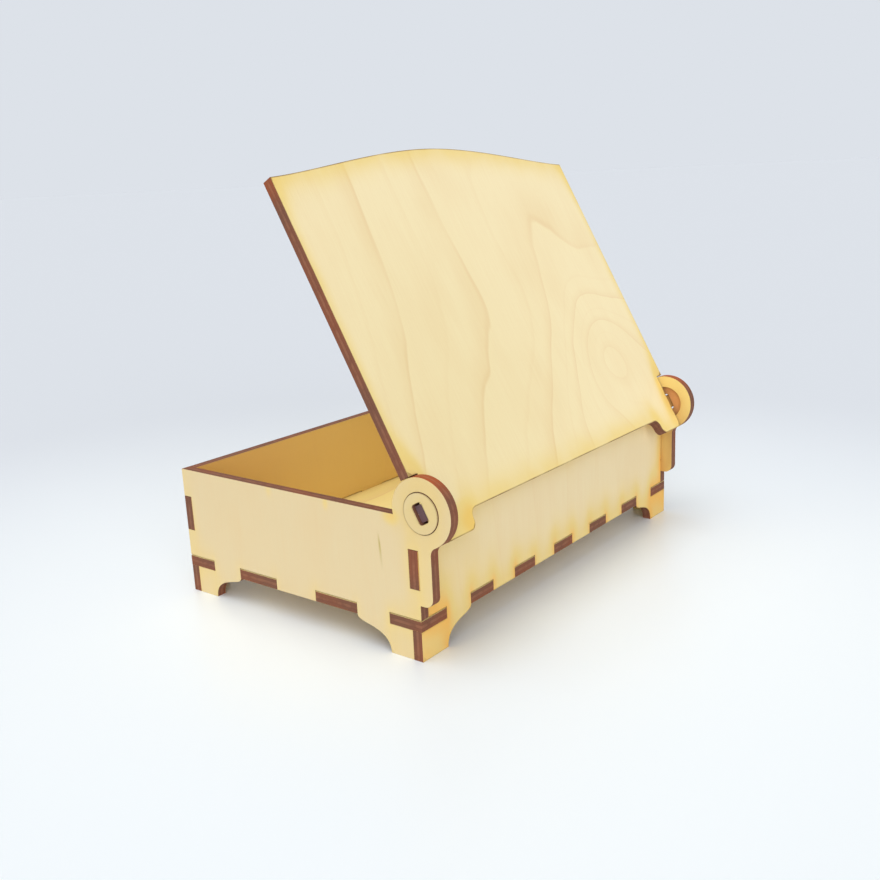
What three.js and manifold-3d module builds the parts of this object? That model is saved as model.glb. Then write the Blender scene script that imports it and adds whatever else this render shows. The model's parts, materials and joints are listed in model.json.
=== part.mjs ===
// Wooden keepsake box cut from thin plywood sheet.
//
// Four walls and a floor lock together with finger joints. Each end wall carries an ear with a round hole.
// The disc that drops out of that hole turns in it again, with the lid's end tab seated in its slot,
// so that ear, disc and tab are the hinge. The lid stands part open and stays there by friction.
//
// Millimetres, +Z up, X along the box, the front (opening) side towards -Y and the hinge towards +Y.
// The origin lies on the ground under the middle of the whole part.

import * as THREE from 'three';
import { mergeVertices } from 'three/addons/utils/BufferGeometryUtils.js';
import Module from 'manifold-3d';

const wasm = await Module();
wasm.setup();

// Sheet and joints
const PLY = 3; // sheet thickness
const KERF = 0.1; // gap that the cut leaves on each side of a finger
const LENGTH = 135; // outside, along X
const WIDTH = 88; // outside, along Y
const FOOT_HEIGHT = 8; // ground to the underside of the floor
const WALL_HEIGHT = 29.8; // underside of the floor to the top of the walls
const FINGER_COUNT = 13; // equal fingers and gaps along a long wall
const WALL_TAB_HEIGHT = 10.4; // slot in an end wall that takes a long wall's tab
const END_TAB_LENGTH = 15; // slot in an end wall that takes a tab of the floor
const END_TAB_SPACING = 30; // between the centres of the two slots

// Feet
const FOOT_LOWER_SHARE = 0.9; // pull of the foot's curve at the ground, as a share of its height
const FOOT_UPPER_SHARE = 0.66; // height of the curve's second pull, as a share of its height

// Hinge
const EAR_RADIUS = 9;
const DISC_RADIUS = 5.25;
const PIVOT_GAP = 0.15; // between the disc and its hole
const RIGHT_DISC_PROUD = 0.2; // the right disc stands out of its ear by this much
const LEFT_DISC_PROUD = 1; // the left disc has slid further out
const NECK_WALL = 4; // wood left behind and below the slot under the ear
const NECK_RADIUS = 2.5; // rounding at the foot of the neck and where it runs into the ear
const TAB_LENGTH = 4.3; // the lid's end tab, along the depth of the lid
const TAB_RECESS = 0.7; // the tab ends inside the ear's outer face by this much
const SLOT_END_GAP = 0.55; // between the tab and each end of the disc's slot
const SLOT_ROUNDING = 0.8;

// Lid
const LID_GAP = 0.1; // under the closed lid, and behind it when it stands upright
const SIDE_GAP = 0.3; // between the narrow part of the lid and the ears
const SHOULDER_GAP = 0.15; // between the lid's shoulders and the rims of the ears
const REAR_REACH = 4; // the middle of the lid's rear edge lies this far behind the hinge axis
const LUG_WIDTH = 9.5; // flat end of a lug, past its curved side
const BOW_RISE = 7; // the front edge bows out by this much at its middle
const BOW_FOOT_SHARE = 0.74; // first pull of the bow, as a share of the half length
const BOW_LIFT_SHARE = 0.17; // height of the first pull, as a share of the bow's rise
const BOW_CROWN_SHARE = 0.36; // second pull, as a share of the half length
const OPEN_ANGLE = THREE.MathUtils.degToRad(61.2); // the lid as it stands, from closed

// Cutting
const CUT_OVERRUN = 1; // a through cut runs past both faces of the sheet by this much

// Smoothness of the curved edges
const ARC_STEP = THREE.MathUtils.degToRad(5);
const FOOT_STEPS = 20;
const BOW_STEPS = 30;

// Sizes that follow from those above
const HALF_LENGTH = LENGTH / 2;
const HALF_WIDTH = WIDTH / 2;
const INNER_HALF_LENGTH = HALF_LENGTH - PLY;
const INNER_HALF_WIDTH = HALF_WIDTH - PLY;
const PITCH = LENGTH / FINGER_COUNT;
const FLOOR_TOP = FOOT_HEIGHT + PLY;
const NOTCH_TOP = FLOOR_TOP + 2 * KERF;
const WALL_TOP = FOOT_HEIGHT + WALL_HEIGHT;
const TAB_MIDDLE = (FLOOR_TOP + WALL_TOP) / 2;
const SLOT_LOW = TAB_MIDDLE - WALL_TAB_HEIGHT / 2;
const SLOT_HIGH = TAB_MIDDLE + WALL_TAB_HEIGHT / 2;
const HINGE_OFFSET = PLY / 2 + LID_GAP; // hinge axis from the back face, and from the top of the walls
const HINGE_Y = HALF_WIDTH + HINGE_OFFSET;
const HINGE_Z = WALL_TOP + HINGE_OFFSET;
const HOLE_RADIUS = DISC_RADIUS + PIVOT_GAP;
const MIDDLE_X = (RIGHT_DISC_PROUD - LEFT_DISC_PROUD) / 2; // middle of the part, discs included
const MIDDLE_Y = (HINGE_Y + EAR_RADIUS - HALF_WIDTH) / 2; // middle of the part, ears included

// Each panel has a material of its own in the colour of pale veneer.
function veneer(colour) {
  return new THREE.MeshStandardMaterial({ color: colour, roughness: 0.6, metalness: 0 });
}

// Goes on from an arc's start to its end in even steps, anticlockwise when the end angle is the larger.
function followArc(path, x, y, radius, start, end) {
  const steps = Math.ceil(Math.abs(end - start) / ARC_STEP);
  for (let step = 1; step <= steps; step += 1) {
    const angle = start + ((end - start) * step) / steps;
    path.lineTo(x + radius * Math.cos(angle), y + radius * Math.sin(angle));
  }
}

// Goes on from a curve's start to its end.
function followCurve(path, curve, steps) {
  for (const point of curve.getPoints(steps).slice(1)) {
    path.lineTo(point.x, point.y);
  }
}

function reversed(curve) {
  return new THREE.CubicBezierCurve(curve.v3, curve.v2, curve.v1, curve.v0);
}

function corners(path, points) {
  for (const [x, y] of points) {
    path.lineTo(x, y);
  }
}

function rectangle(left, bottom, right, top) {
  const path = new THREE.Shape();
  path.moveTo(left, bottom);
  corners(path, [[right, bottom], [right, top], [left, top]]);
  return path;
}

function circle(x, y, radius) {
  const path = new THREE.Shape();
  path.moveTo(x + radius, y);
  followArc(path, x, y, radius, 0, 2 * Math.PI - ARC_STEP);
  return path;
}

function toSolid(geometry) {
  const bare = geometry.clone();
  bare.deleteAttribute('normal');
  bare.deleteAttribute('uv');
  const merged = mergeVertices(bare);
  const vertProperties = merged.attributes.position.array;
  const triVerts = new Uint32Array(merged.index.array);
  return new wasm.Manifold(new wasm.Mesh({ numProp: 3, vertProperties, triVerts }));
}

function toGeometry(solid) {
  const mesh = solid.getMesh();
  const geometry = new THREE.BufferGeometry();
  geometry.setAttribute('position', new THREE.BufferAttribute(mesh.vertProperties, 3));
  geometry.setIndex(new THREE.BufferAttribute(mesh.triVerts, 1));
  geometry.computeVertexNormals();
  return geometry;
}

// A flat outline cut out of the sheet, on the near side of the plane it is drawn on.
// The openings are cut right through it.
function cutSheet(outline, openings) {
  let solid = toSolid(new THREE.ExtrudeGeometry(outline, { depth: PLY, bevelEnabled: false }));
  for (const opening of openings) {
    const cutter = new THREE.ExtrudeGeometry(opening, { depth: PLY + 2 * CUT_OVERRUN, bevelEnabled: false });
    cutter.translate(0, 0, -CUT_OVERRUN);
    solid = solid.subtract(toSolid(cutter));
  }
  return toGeometry(solid);
}

function panel(name, colour, outline, openings = []) {
  const mesh = new THREE.Mesh(cutSheet(outline, openings), veneer(colour));
  mesh.name = name;
  return mesh;
}

// Turns a drawing on X and Y into one that stands on Y and Z, with the sheet's thickness along +X.
function standAcross(mesh, x) {
  const along = new THREE.Vector3(0, 1, 0);
  const up = new THREE.Vector3(0, 0, 1);
  const out = new THREE.Vector3(1, 0, 0);
  mesh.quaternion.setFromRotationMatrix(new THREE.Matrix4().makeBasis(along, up, out));
  mesh.position.x = x;
  return mesh;
}

// Turns a drawing on X and Y into one that stands on X and Z, with its thickness along -Y.
function standAlong(mesh, y) {
  mesh.rotation.x = Math.PI / 2;
  mesh.position.y = y;
  return mesh;
}

// The ogee inner side of a foot, from the ground up to the wall's lower edge.
function footCurve(groundX, wallX) {
  return new THREE.CubicBezierCurve(
    new THREE.Vector2(groundX, 0),
    new THREE.Vector2(groundX, FOOT_HEIGHT * FOOT_LOWER_SHARE),
    new THREE.Vector2(wallX, FOOT_HEIGHT * FOOT_UPPER_SHARE),
    new THREE.Vector2(wallX, FOOT_HEIGHT),
  );
}

// Front or back wall. At the feet it runs through to the ends of the box.
// Above the floor it stops at the end walls, and one tab a side goes through them.
function longWallShape() {
  const shape = new THREE.Shape();
  const cornerX = HALF_LENGTH - PITCH;
  const firstNotchX = cornerX - PITCH;
  const tabLow = SLOT_LOW + KERF;
  const tabHigh = SLOT_HIGH - KERF;
  shape.moveTo(cornerX, 0);
  corners(shape, [
    [HALF_LENGTH, 0],
    [HALF_LENGTH, FOOT_HEIGHT],
    [cornerX, FOOT_HEIGHT],
    [cornerX, NOTCH_TOP],
    [INNER_HALF_LENGTH, NOTCH_TOP],
    [INNER_HALF_LENGTH, tabLow],
    [HALF_LENGTH, tabLow],
    [HALF_LENGTH, tabHigh],
    [INNER_HALF_LENGTH, tabHigh],
    [INNER_HALF_LENGTH, WALL_TOP],
    [-INNER_HALF_LENGTH, WALL_TOP],
    [-INNER_HALF_LENGTH, tabHigh],
    [-HALF_LENGTH, tabHigh],
    [-HALF_LENGTH, tabLow],
    [-INNER_HALF_LENGTH, tabLow],
    [-INNER_HALF_LENGTH, NOTCH_TOP],
    [-cornerX, NOTCH_TOP],
    [-cornerX, FOOT_HEIGHT],
    [-HALF_LENGTH, FOOT_HEIGHT],
    [-HALF_LENGTH, 0],
    [-cornerX, 0],
  ]);
  followCurve(shape, footCurve(-cornerX, -firstNotchX), FOOT_STEPS);
  for (let left = -firstNotchX; left < firstNotchX - PITCH / 2; left += 2 * PITCH) {
    const right = left + PITCH;
    corners(shape, [[left, FOOT_HEIGHT], [left, NOTCH_TOP], [right, NOTCH_TOP], [right, FOOT_HEIGHT]]);
  }
  followCurve(shape, reversed(footCurve(cornerX, firstNotchX)), FOOT_STEPS);
  return shape;
}

// End wall, drawn on Y and Z, with its ear, the neck under it and the slots for its neighbours' tabs.
function endWallShape() {
  const shape = new THREE.Shape();
  const cornerY = HALF_WIDTH - PITCH;
  const slotNearY = (END_TAB_SPACING - END_TAB_LENGTH) / 2;
  const slotFarY = (END_TAB_SPACING + END_TAB_LENGTH) / 2;
  const neckY = HALF_WIDTH + NECK_WALL;
  const neckLow = SLOT_LOW - NECK_WALL;
  const filletY = neckY + NECK_RADIUS;
  const filletZ = HINGE_Z - Math.sqrt((EAR_RADIUS + NECK_RADIUS) ** 2 - (filletY - HINGE_Y) ** 2);
  const earStart = Math.atan2(filletZ - HINGE_Z, filletY - HINGE_Y);
  const earEnd = Math.PI + Math.asin((HINGE_Z - WALL_TOP) / EAR_RADIUS);

  shape.moveTo(cornerY, 0);
  corners(shape, [
    [INNER_HALF_WIDTH, 0],
    [INNER_HALF_WIDTH, FOOT_HEIGHT],
    [cornerY, FOOT_HEIGHT],
    [cornerY, NOTCH_TOP],
    [HALF_WIDTH, NOTCH_TOP],
    [HALF_WIDTH, neckLow],
    [neckY - NECK_RADIUS, neckLow],
  ]);
  followArc(shape, neckY - NECK_RADIUS, neckLow + NECK_RADIUS, NECK_RADIUS, -Math.PI / 2, 0);
  shape.lineTo(neckY, filletZ);
  followArc(shape, filletY, filletZ, NECK_RADIUS, Math.PI, Math.PI + earStart);
  followArc(shape, HINGE_Y, HINGE_Z, EAR_RADIUS, earStart, earEnd);
  corners(shape, [
    [-HALF_WIDTH, WALL_TOP],
    [-HALF_WIDTH, SLOT_HIGH],
    [-INNER_HALF_WIDTH, SLOT_HIGH],
    [-INNER_HALF_WIDTH, SLOT_LOW],
    [-HALF_WIDTH, SLOT_LOW],
    [-HALF_WIDTH, NOTCH_TOP],
    [-cornerY, NOTCH_TOP],
    [-cornerY, FOOT_HEIGHT],
    [-INNER_HALF_WIDTH, FOOT_HEIGHT],
    [-INNER_HALF_WIDTH, 0],
    [-cornerY, 0],
  ]);
  followCurve(shape, footCurve(-cornerY, -slotFarY), FOOT_STEPS);
  for (const [left, right] of [[-slotFarY, -slotNearY], [slotNearY, slotFarY]]) {
    corners(shape, [[left, FOOT_HEIGHT], [left, NOTCH_TOP], [right, NOTCH_TOP], [right, FOOT_HEIGHT]]);
  }
  followCurve(shape, reversed(footCurve(cornerY, slotFarY)), FOOT_STEPS);
  return shape;
}

// The slot for the back wall's tab, closed by the neck, and the hole that the hinge disc turns in.
function endWallOpenings() {
  return [
    rectangle(INNER_HALF_WIDTH - KERF, SLOT_LOW, HALF_WIDTH + KERF, SLOT_HIGH),
    circle(HINGE_Y, HINGE_Z, HOLE_RADIUS),
  ];
}

// Floor, with a corner that reaches each outer corner and tabs through all four walls.
// Front and right edges are drawn, and turned by half a turn they are the back and left edges.
function floorShape() {
  const cornerX = HALF_LENGTH - PITCH;
  const cornerY = HALF_WIDTH - PITCH;
  const firstTabX = cornerX - PITCH;
  const slotNearY = (END_TAB_SPACING - END_TAB_LENGTH) / 2;
  const slotFarY = (END_TAB_SPACING + END_TAB_LENGTH) / 2;
  const half = [[-cornerX - KERF, -HALF_WIDTH], [-cornerX - KERF, -INNER_HALF_WIDTH]];
  for (let left = -firstTabX; left < firstTabX - PITCH / 2; left += 2 * PITCH) {
    const tabLeft = left + KERF;
    const tabRight = left + PITCH - KERF;
    half.push([tabLeft, -INNER_HALF_WIDTH], [tabLeft, -HALF_WIDTH]);
    half.push([tabRight, -HALF_WIDTH], [tabRight, -INNER_HALF_WIDTH]);
  }
  half.push([cornerX + KERF, -INNER_HALF_WIDTH], [cornerX + KERF, -HALF_WIDTH]);
  half.push([HALF_LENGTH, -HALF_WIDTH]);
  half.push([HALF_LENGTH, -cornerY - KERF], [INNER_HALF_LENGTH, -cornerY - KERF]);
  for (const [left, right] of [[-slotFarY, -slotNearY], [slotNearY, slotFarY]]) {
    half.push([INNER_HALF_LENGTH, left + KERF], [HALF_LENGTH, left + KERF]);
    half.push([HALF_LENGTH, right - KERF], [INNER_HALF_LENGTH, right - KERF]);
  }
  half.push([INNER_HALF_LENGTH, cornerY + KERF], [HALF_LENGTH, cornerY + KERF]);
  half.push([HALF_LENGTH, HALF_WIDTH]);

  const shape = new THREE.Shape();
  shape.moveTo(-HALF_LENGTH, -HALF_WIDTH);
  corners(shape, half);
  corners(shape, half.slice(0, -1).map(([x, y]) => [-x, -y]));
  return shape;
}

// Half of the bowed front edge, from a corner of the lid to the middle.
function bowCurve(cornerX, frontY) {
  const crownY = frontY - BOW_RISE;
  return new THREE.CubicBezierCurve(
    new THREE.Vector2(cornerX, frontY),
    new THREE.Vector2(cornerX * BOW_FOOT_SHARE, frontY - BOW_RISE * BOW_LIFT_SHARE),
    new THREE.Vector2(cornerX * BOW_CROWN_SHARE, crownY),
    new THREE.Vector2(0, crownY),
  );
}

// Lid, drawn flat on X and Y with the hinge axis on X and the front edge towards -Y.
// It covers the walls, passes between the ears, and ends in two lugs with curved inner sides.
function lidShape() {
  const shape = new THREE.Shape();
  const frontY = -(HINGE_Y + HALF_WIDTH);
  const shoulderY = -(EAR_RADIUS + SHOULDER_GAP);
  const narrowX = INNER_HALF_LENGTH - SIDE_GAP;
  const tabX = HALF_LENGTH - TAB_RECESS;
  const ogeeRadius = (EAR_RADIUS - REAR_REACH) / 2;
  const ogeeY = REAR_REACH + ogeeRadius;
  const lugX = narrowX - LUG_WIDTH;
  const rearX = lugX - 2 * ogeeRadius;

  shape.moveTo(-HALF_LENGTH, frontY);
  followCurve(shape, bowCurve(-HALF_LENGTH, frontY), BOW_STEPS);
  followCurve(shape, reversed(bowCurve(HALF_LENGTH, frontY)), BOW_STEPS);
  corners(shape, [
    [HALF_LENGTH, shoulderY],
    [narrowX, shoulderY],
    [narrowX, -TAB_LENGTH / 2],
    [tabX, -TAB_LENGTH / 2],
    [tabX, TAB_LENGTH / 2],
    [narrowX, TAB_LENGTH / 2],
    [narrowX, EAR_RADIUS],
    [lugX, EAR_RADIUS],
  ]);
  followArc(shape, lugX, ogeeY, ogeeRadius, Math.PI / 2, Math.PI);
  followArc(shape, rearX, ogeeY, ogeeRadius, 0, -Math.PI / 2);
  shape.lineTo(-rearX, REAR_REACH);
  followArc(shape, -rearX, ogeeY, ogeeRadius, -Math.PI / 2, -Math.PI);
  followArc(shape, -lugX, ogeeY, ogeeRadius, 0, Math.PI / 2);
  corners(shape, [
    [-narrowX, EAR_RADIUS],
    [-narrowX, TAB_LENGTH / 2],
    [-tabX, TAB_LENGTH / 2],
    [-tabX, -TAB_LENGTH / 2],
    [-narrowX, -TAB_LENGTH / 2],
    [-narrowX, shoulderY],
    [-HALF_LENGTH, shoulderY],
  ]);
  return shape;
}

// The round-cornered slot in a hinge disc that holds the lid's end tab, drawn on Y and Z of the lid.
function discSlot() {
  const slotEnd = TAB_LENGTH / 2 + SLOT_END_GAP;
  const slotSide = PLY / 2 + KERF;
  const turnY = slotEnd - SLOT_ROUNDING;
  const turnZ = slotSide - SLOT_ROUNDING;
  const slot = new THREE.Shape();
  slot.moveTo(slotEnd, -turnZ);
  slot.lineTo(slotEnd, turnZ);
  followArc(slot, turnY, turnZ, SLOT_ROUNDING, 0, Math.PI / 2);
  slot.lineTo(-turnY, slotSide);
  followArc(slot, -turnY, turnZ, SLOT_ROUNDING, Math.PI / 2, Math.PI);
  slot.lineTo(-slotEnd, -turnZ);
  followArc(slot, -turnY, -turnZ, SLOT_ROUNDING, Math.PI, 1.5 * Math.PI);
  slot.lineTo(turnY, -slotSide);
  followArc(slot, turnY, -turnZ, SLOT_ROUNDING, 1.5 * Math.PI, 2 * Math.PI);
  return slot;
}

function buildBody() {
  const body = new THREE.Group();
  const floor = panel('floor_panel', 0xe9cf95, floorShape());
  const front = panel('front_panel', 0xe6c98e, longWallShape());
  const back = panel('back_panel', 0xecd7a6, longWallShape());
  const rightEnd = panel('right_end_panel', 0xecd9aa, endWallShape(), endWallOpenings());
  const leftEnd = panel('left_end_panel', 0xe8d09a, endWallShape(), endWallOpenings());
  floor.position.z = FOOT_HEIGHT;
  body.add(floor, standAlong(front, -INNER_HALF_WIDTH), standAlong(back, HALF_WIDTH));
  body.add(standAcross(rightEnd, INNER_HALF_LENGTH), standAcross(leftEnd, -HALF_LENGTH));
  return body;
}

function buildLid() {
  const lid = new THREE.Group();
  const rightFace = HALF_LENGTH + RIGHT_DISC_PROUD;
  const leftFace = HALF_LENGTH + LEFT_DISC_PROUD;
  const sheet = panel('lid_panel', 0xeedbae, lidShape());
  const rightDisc = panel('right_hinge_disc', 0xe4d09e, circle(0, 0, DISC_RADIUS), [discSlot()]);
  const leftDisc = panel('left_hinge_disc', 0xdcb477, circle(0, 0, DISC_RADIUS), [discSlot()]);
  sheet.position.z = -PLY / 2;
  lid.add(sheet, standAcross(rightDisc, rightFace - PLY), standAcross(leftDisc, -leftFace));
  lid.position.set(0, HINGE_Y, HINGE_Z);
  lid.rotation.x = -OPEN_ANGLE;
  return lid;
}

const keepsakeBox = new THREE.Group();
keepsakeBox.position.set(-MIDDLE_X, -MIDDLE_Y, 0);
keepsakeBox.add(buildBody(), buildLid());

export default keepsakeBox;
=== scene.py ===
"""Keepsake box of laser-cut plywood, part open, on a pale table in soft studio light.

Every sheet of the box is cut from the same pale veneered plywood. Its faces show the figure of the wood
and the warm tint that the laser leaves beside a cut, and its edges are scorched and show their layers.
"""

import json
import logging
import math
from collections.abc import Iterable, Mapping
from dataclasses import dataclass, field, replace
from enum import Enum
from typing import Any, Union

import bmesh
import bpy
import numpy as np
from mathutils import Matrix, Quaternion, Vector


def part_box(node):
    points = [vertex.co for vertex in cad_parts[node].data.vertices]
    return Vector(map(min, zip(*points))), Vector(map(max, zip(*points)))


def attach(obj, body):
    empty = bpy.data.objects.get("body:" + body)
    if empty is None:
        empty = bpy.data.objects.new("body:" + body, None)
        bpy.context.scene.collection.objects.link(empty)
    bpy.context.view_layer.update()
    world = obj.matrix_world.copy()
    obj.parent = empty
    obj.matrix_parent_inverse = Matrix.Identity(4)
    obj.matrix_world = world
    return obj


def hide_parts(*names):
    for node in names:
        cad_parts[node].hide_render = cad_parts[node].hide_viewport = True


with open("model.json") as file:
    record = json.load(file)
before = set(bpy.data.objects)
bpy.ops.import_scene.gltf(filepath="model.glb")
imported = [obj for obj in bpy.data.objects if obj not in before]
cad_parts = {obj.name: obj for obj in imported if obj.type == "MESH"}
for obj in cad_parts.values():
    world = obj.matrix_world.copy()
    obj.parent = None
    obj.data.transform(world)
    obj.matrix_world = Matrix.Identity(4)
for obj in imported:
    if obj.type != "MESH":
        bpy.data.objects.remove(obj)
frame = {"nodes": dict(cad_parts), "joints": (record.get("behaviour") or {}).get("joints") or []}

log = logging.getLogger("keepsake_box")

MM = 0.001
PLY = 3.0  # mm, thickness of the sheet

# Names of the values that each sheet's mesh carries for its finishes
SHEET_PLACE = "sheet_place"
CUT_GAP = "cut_gap"
HEAT = "laser_heat"
GROWTH = "growth"

# Steps from a veneer's own slice of the noise to those of its other patterns, so that no two look alike
PRESENCE_SLICE = 3.0
WAVER_SLICE = 7.0
PATCH_SLICE = 11.0
INNER_SLICE = 40.0
NOISE_MIDDLE = 0.5  # about the mean of a noise
SIDE_STEP = 0.1  # mm from the sheet's middle within which its outer side turns into its inner one

# Numbers of the two materials in each sheet's mesh
VENEER_NUMBER, EDGE_NUMBER = 0, 1

# Tolerances of the work on the meshes, in millimetres and radians
SAME_POINT = 0.002
SLIVER = 0.01
ON_GRID = 0.001
SAME_PLANE = math.radians(0.1)
SMOOTH_ANGLE = math.radians(20)
SMALLEST_SQUARE = 1e-12  # of a length, so that nothing is divided by 0
SLIGHTEST_TURN = 0.01  # as a share of a square turn
LEAST_FACING = 0.5  # share of its normal by which a face of the veneer points out of the sheet
LOT = 500  # points that are measured at once

Colour = tuple[float, float, float, float]
Span = tuple[float, float]  # where a smooth rise starts and ends
Wired = Union[float, int, tuple, "Channel", bpy.types.NodeSocket]

WHITE: Colour = (1.0, 1.0, 1.0, 1.0)


def srgb(red: int, green: int, blue: int) -> Colour:
    """Turns a screen colour into the linear one that the shaders take.

    Args:
        red: Red, from 0 to 255.
        green: Green, from 0 to 255.
        blue: Blue, from 0 to 255.

    Returns:
        The linear colour, with an alpha of 1.
    """
    shares = [channel / 255 for channel in (red, green, blue)]
    linear = [s / 12.92 if s <= 0.04045 else ((s + 0.055) / 1.055) ** 2.4 for s in shares]
    return (linear[0], linear[1], linear[2], 1.0)


def lots_of(points: np.ndarray) -> list[np.ndarray]:
    """Splits many points into lots that are small enough to be measured at once."""
    return np.array_split(points, max(1, len(points) // LOT))


class Channel:
    """A number that changes over a surface. Arithmetic on it adds Math nodes."""

    def __init__(self, bench: "Bench", socket: bpy.types.NodeSocket) -> None:
        """Wraps an output socket of a node tree."""
        self.bench = bench
        self.socket = socket

    def _math(self, operation: str, *values: Wired) -> "Channel":
        """Adds one Math node.

        Args:
            operation: Blender's name of the operation.
            *values: The node's inputs, in order.

        Returns:
            The node's result.
        """
        sockets = dict(enumerate(values))
        node = self.bench.node("ShaderNodeMath", {"operation": operation}, sockets)
        return Channel(self.bench, node.outputs[0])

    def __add__(self, other: Wired) -> "Channel":
        """Adds a number or channel."""
        return self._math("ADD", self, other)

    __radd__ = __add__

    def __sub__(self, other: Wired) -> "Channel":
        """Takes away a number or channel."""
        return self._math("SUBTRACT", self, other)

    def __rsub__(self, other: Wired) -> "Channel":
        """Takes this away from a number."""
        return self._math("SUBTRACT", other, self)

    def __mul__(self, other: Wired) -> "Channel":
        """Multiplies by a number or channel."""
        return self._math("MULTIPLY", self, other)

    __rmul__ = __mul__

    def __truediv__(self, other: Wired) -> "Channel":
        """Divides by a number or channel."""
        return self._math("DIVIDE", self, other)

    def __pow__(self, exponent: float) -> "Channel":
        """Raises to a power."""
        return self._math("POWER", self, exponent)

    def __abs__(self) -> "Channel":
        """Takes the size without the sign."""
        return self._math("ABSOLUTE", self)

    def at_least(self, lowest: Wired) -> "Channel":
        """Holds the value at or above a floor."""
        return self._math("MAXIMUM", self, lowest)

    def at_most(self, highest: Wired) -> "Channel":
        """Holds the value at or below a ceiling."""
        return self._math("MINIMUM", self, highest)

    def fraction(self) -> "Channel":
        """Takes what is left after the whole number."""
        return self._math("FRACT", self)

    def rise(self, start: float, end: float) -> "Channel":
        """Rises smoothly from 0 to 1 as the value goes from start to end.

        Args:
            start: The value at which the rise is 0.
            end: The value at which the rise is 1.

        Returns:
            The smooth step, held at 0 and 1 outside the two values.
        """
        node = self.bench.node(
            "ShaderNodeMapRange",
            {"interpolation_type": "SMOOTHSTEP"},
            {"Value": self, "From Min": start, "From Max": end},
        )
        return Channel(self.bench, node.outputs["Result"])


@dataclass(frozen=True)
class Place:
    """A place on a sheet, in millimetres from the sheet's origin."""

    across: Channel  # across the grain
    along: Channel  # along the grain
    out: Channel  # towards the outer face


@dataclass(frozen=True)
class Cells:
    """Size of the cells of a smooth noise, in millimetres in the same three directions."""

    across: float
    along: float
    out: float | None = None  # none where the noise doesn't change with the depth
    octaves: float = 2.0  # how many finer ones are added


@dataclass(frozen=True)
class Spot:
    """An oval patch on a sheet, in millimetres from the sheet's origin, which fades towards its rim."""

    across: float
    along: float
    reach: float
    strength: float = 1.0
    stretch: float = 1.0  # its length along the grain, as a share of its width


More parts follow.
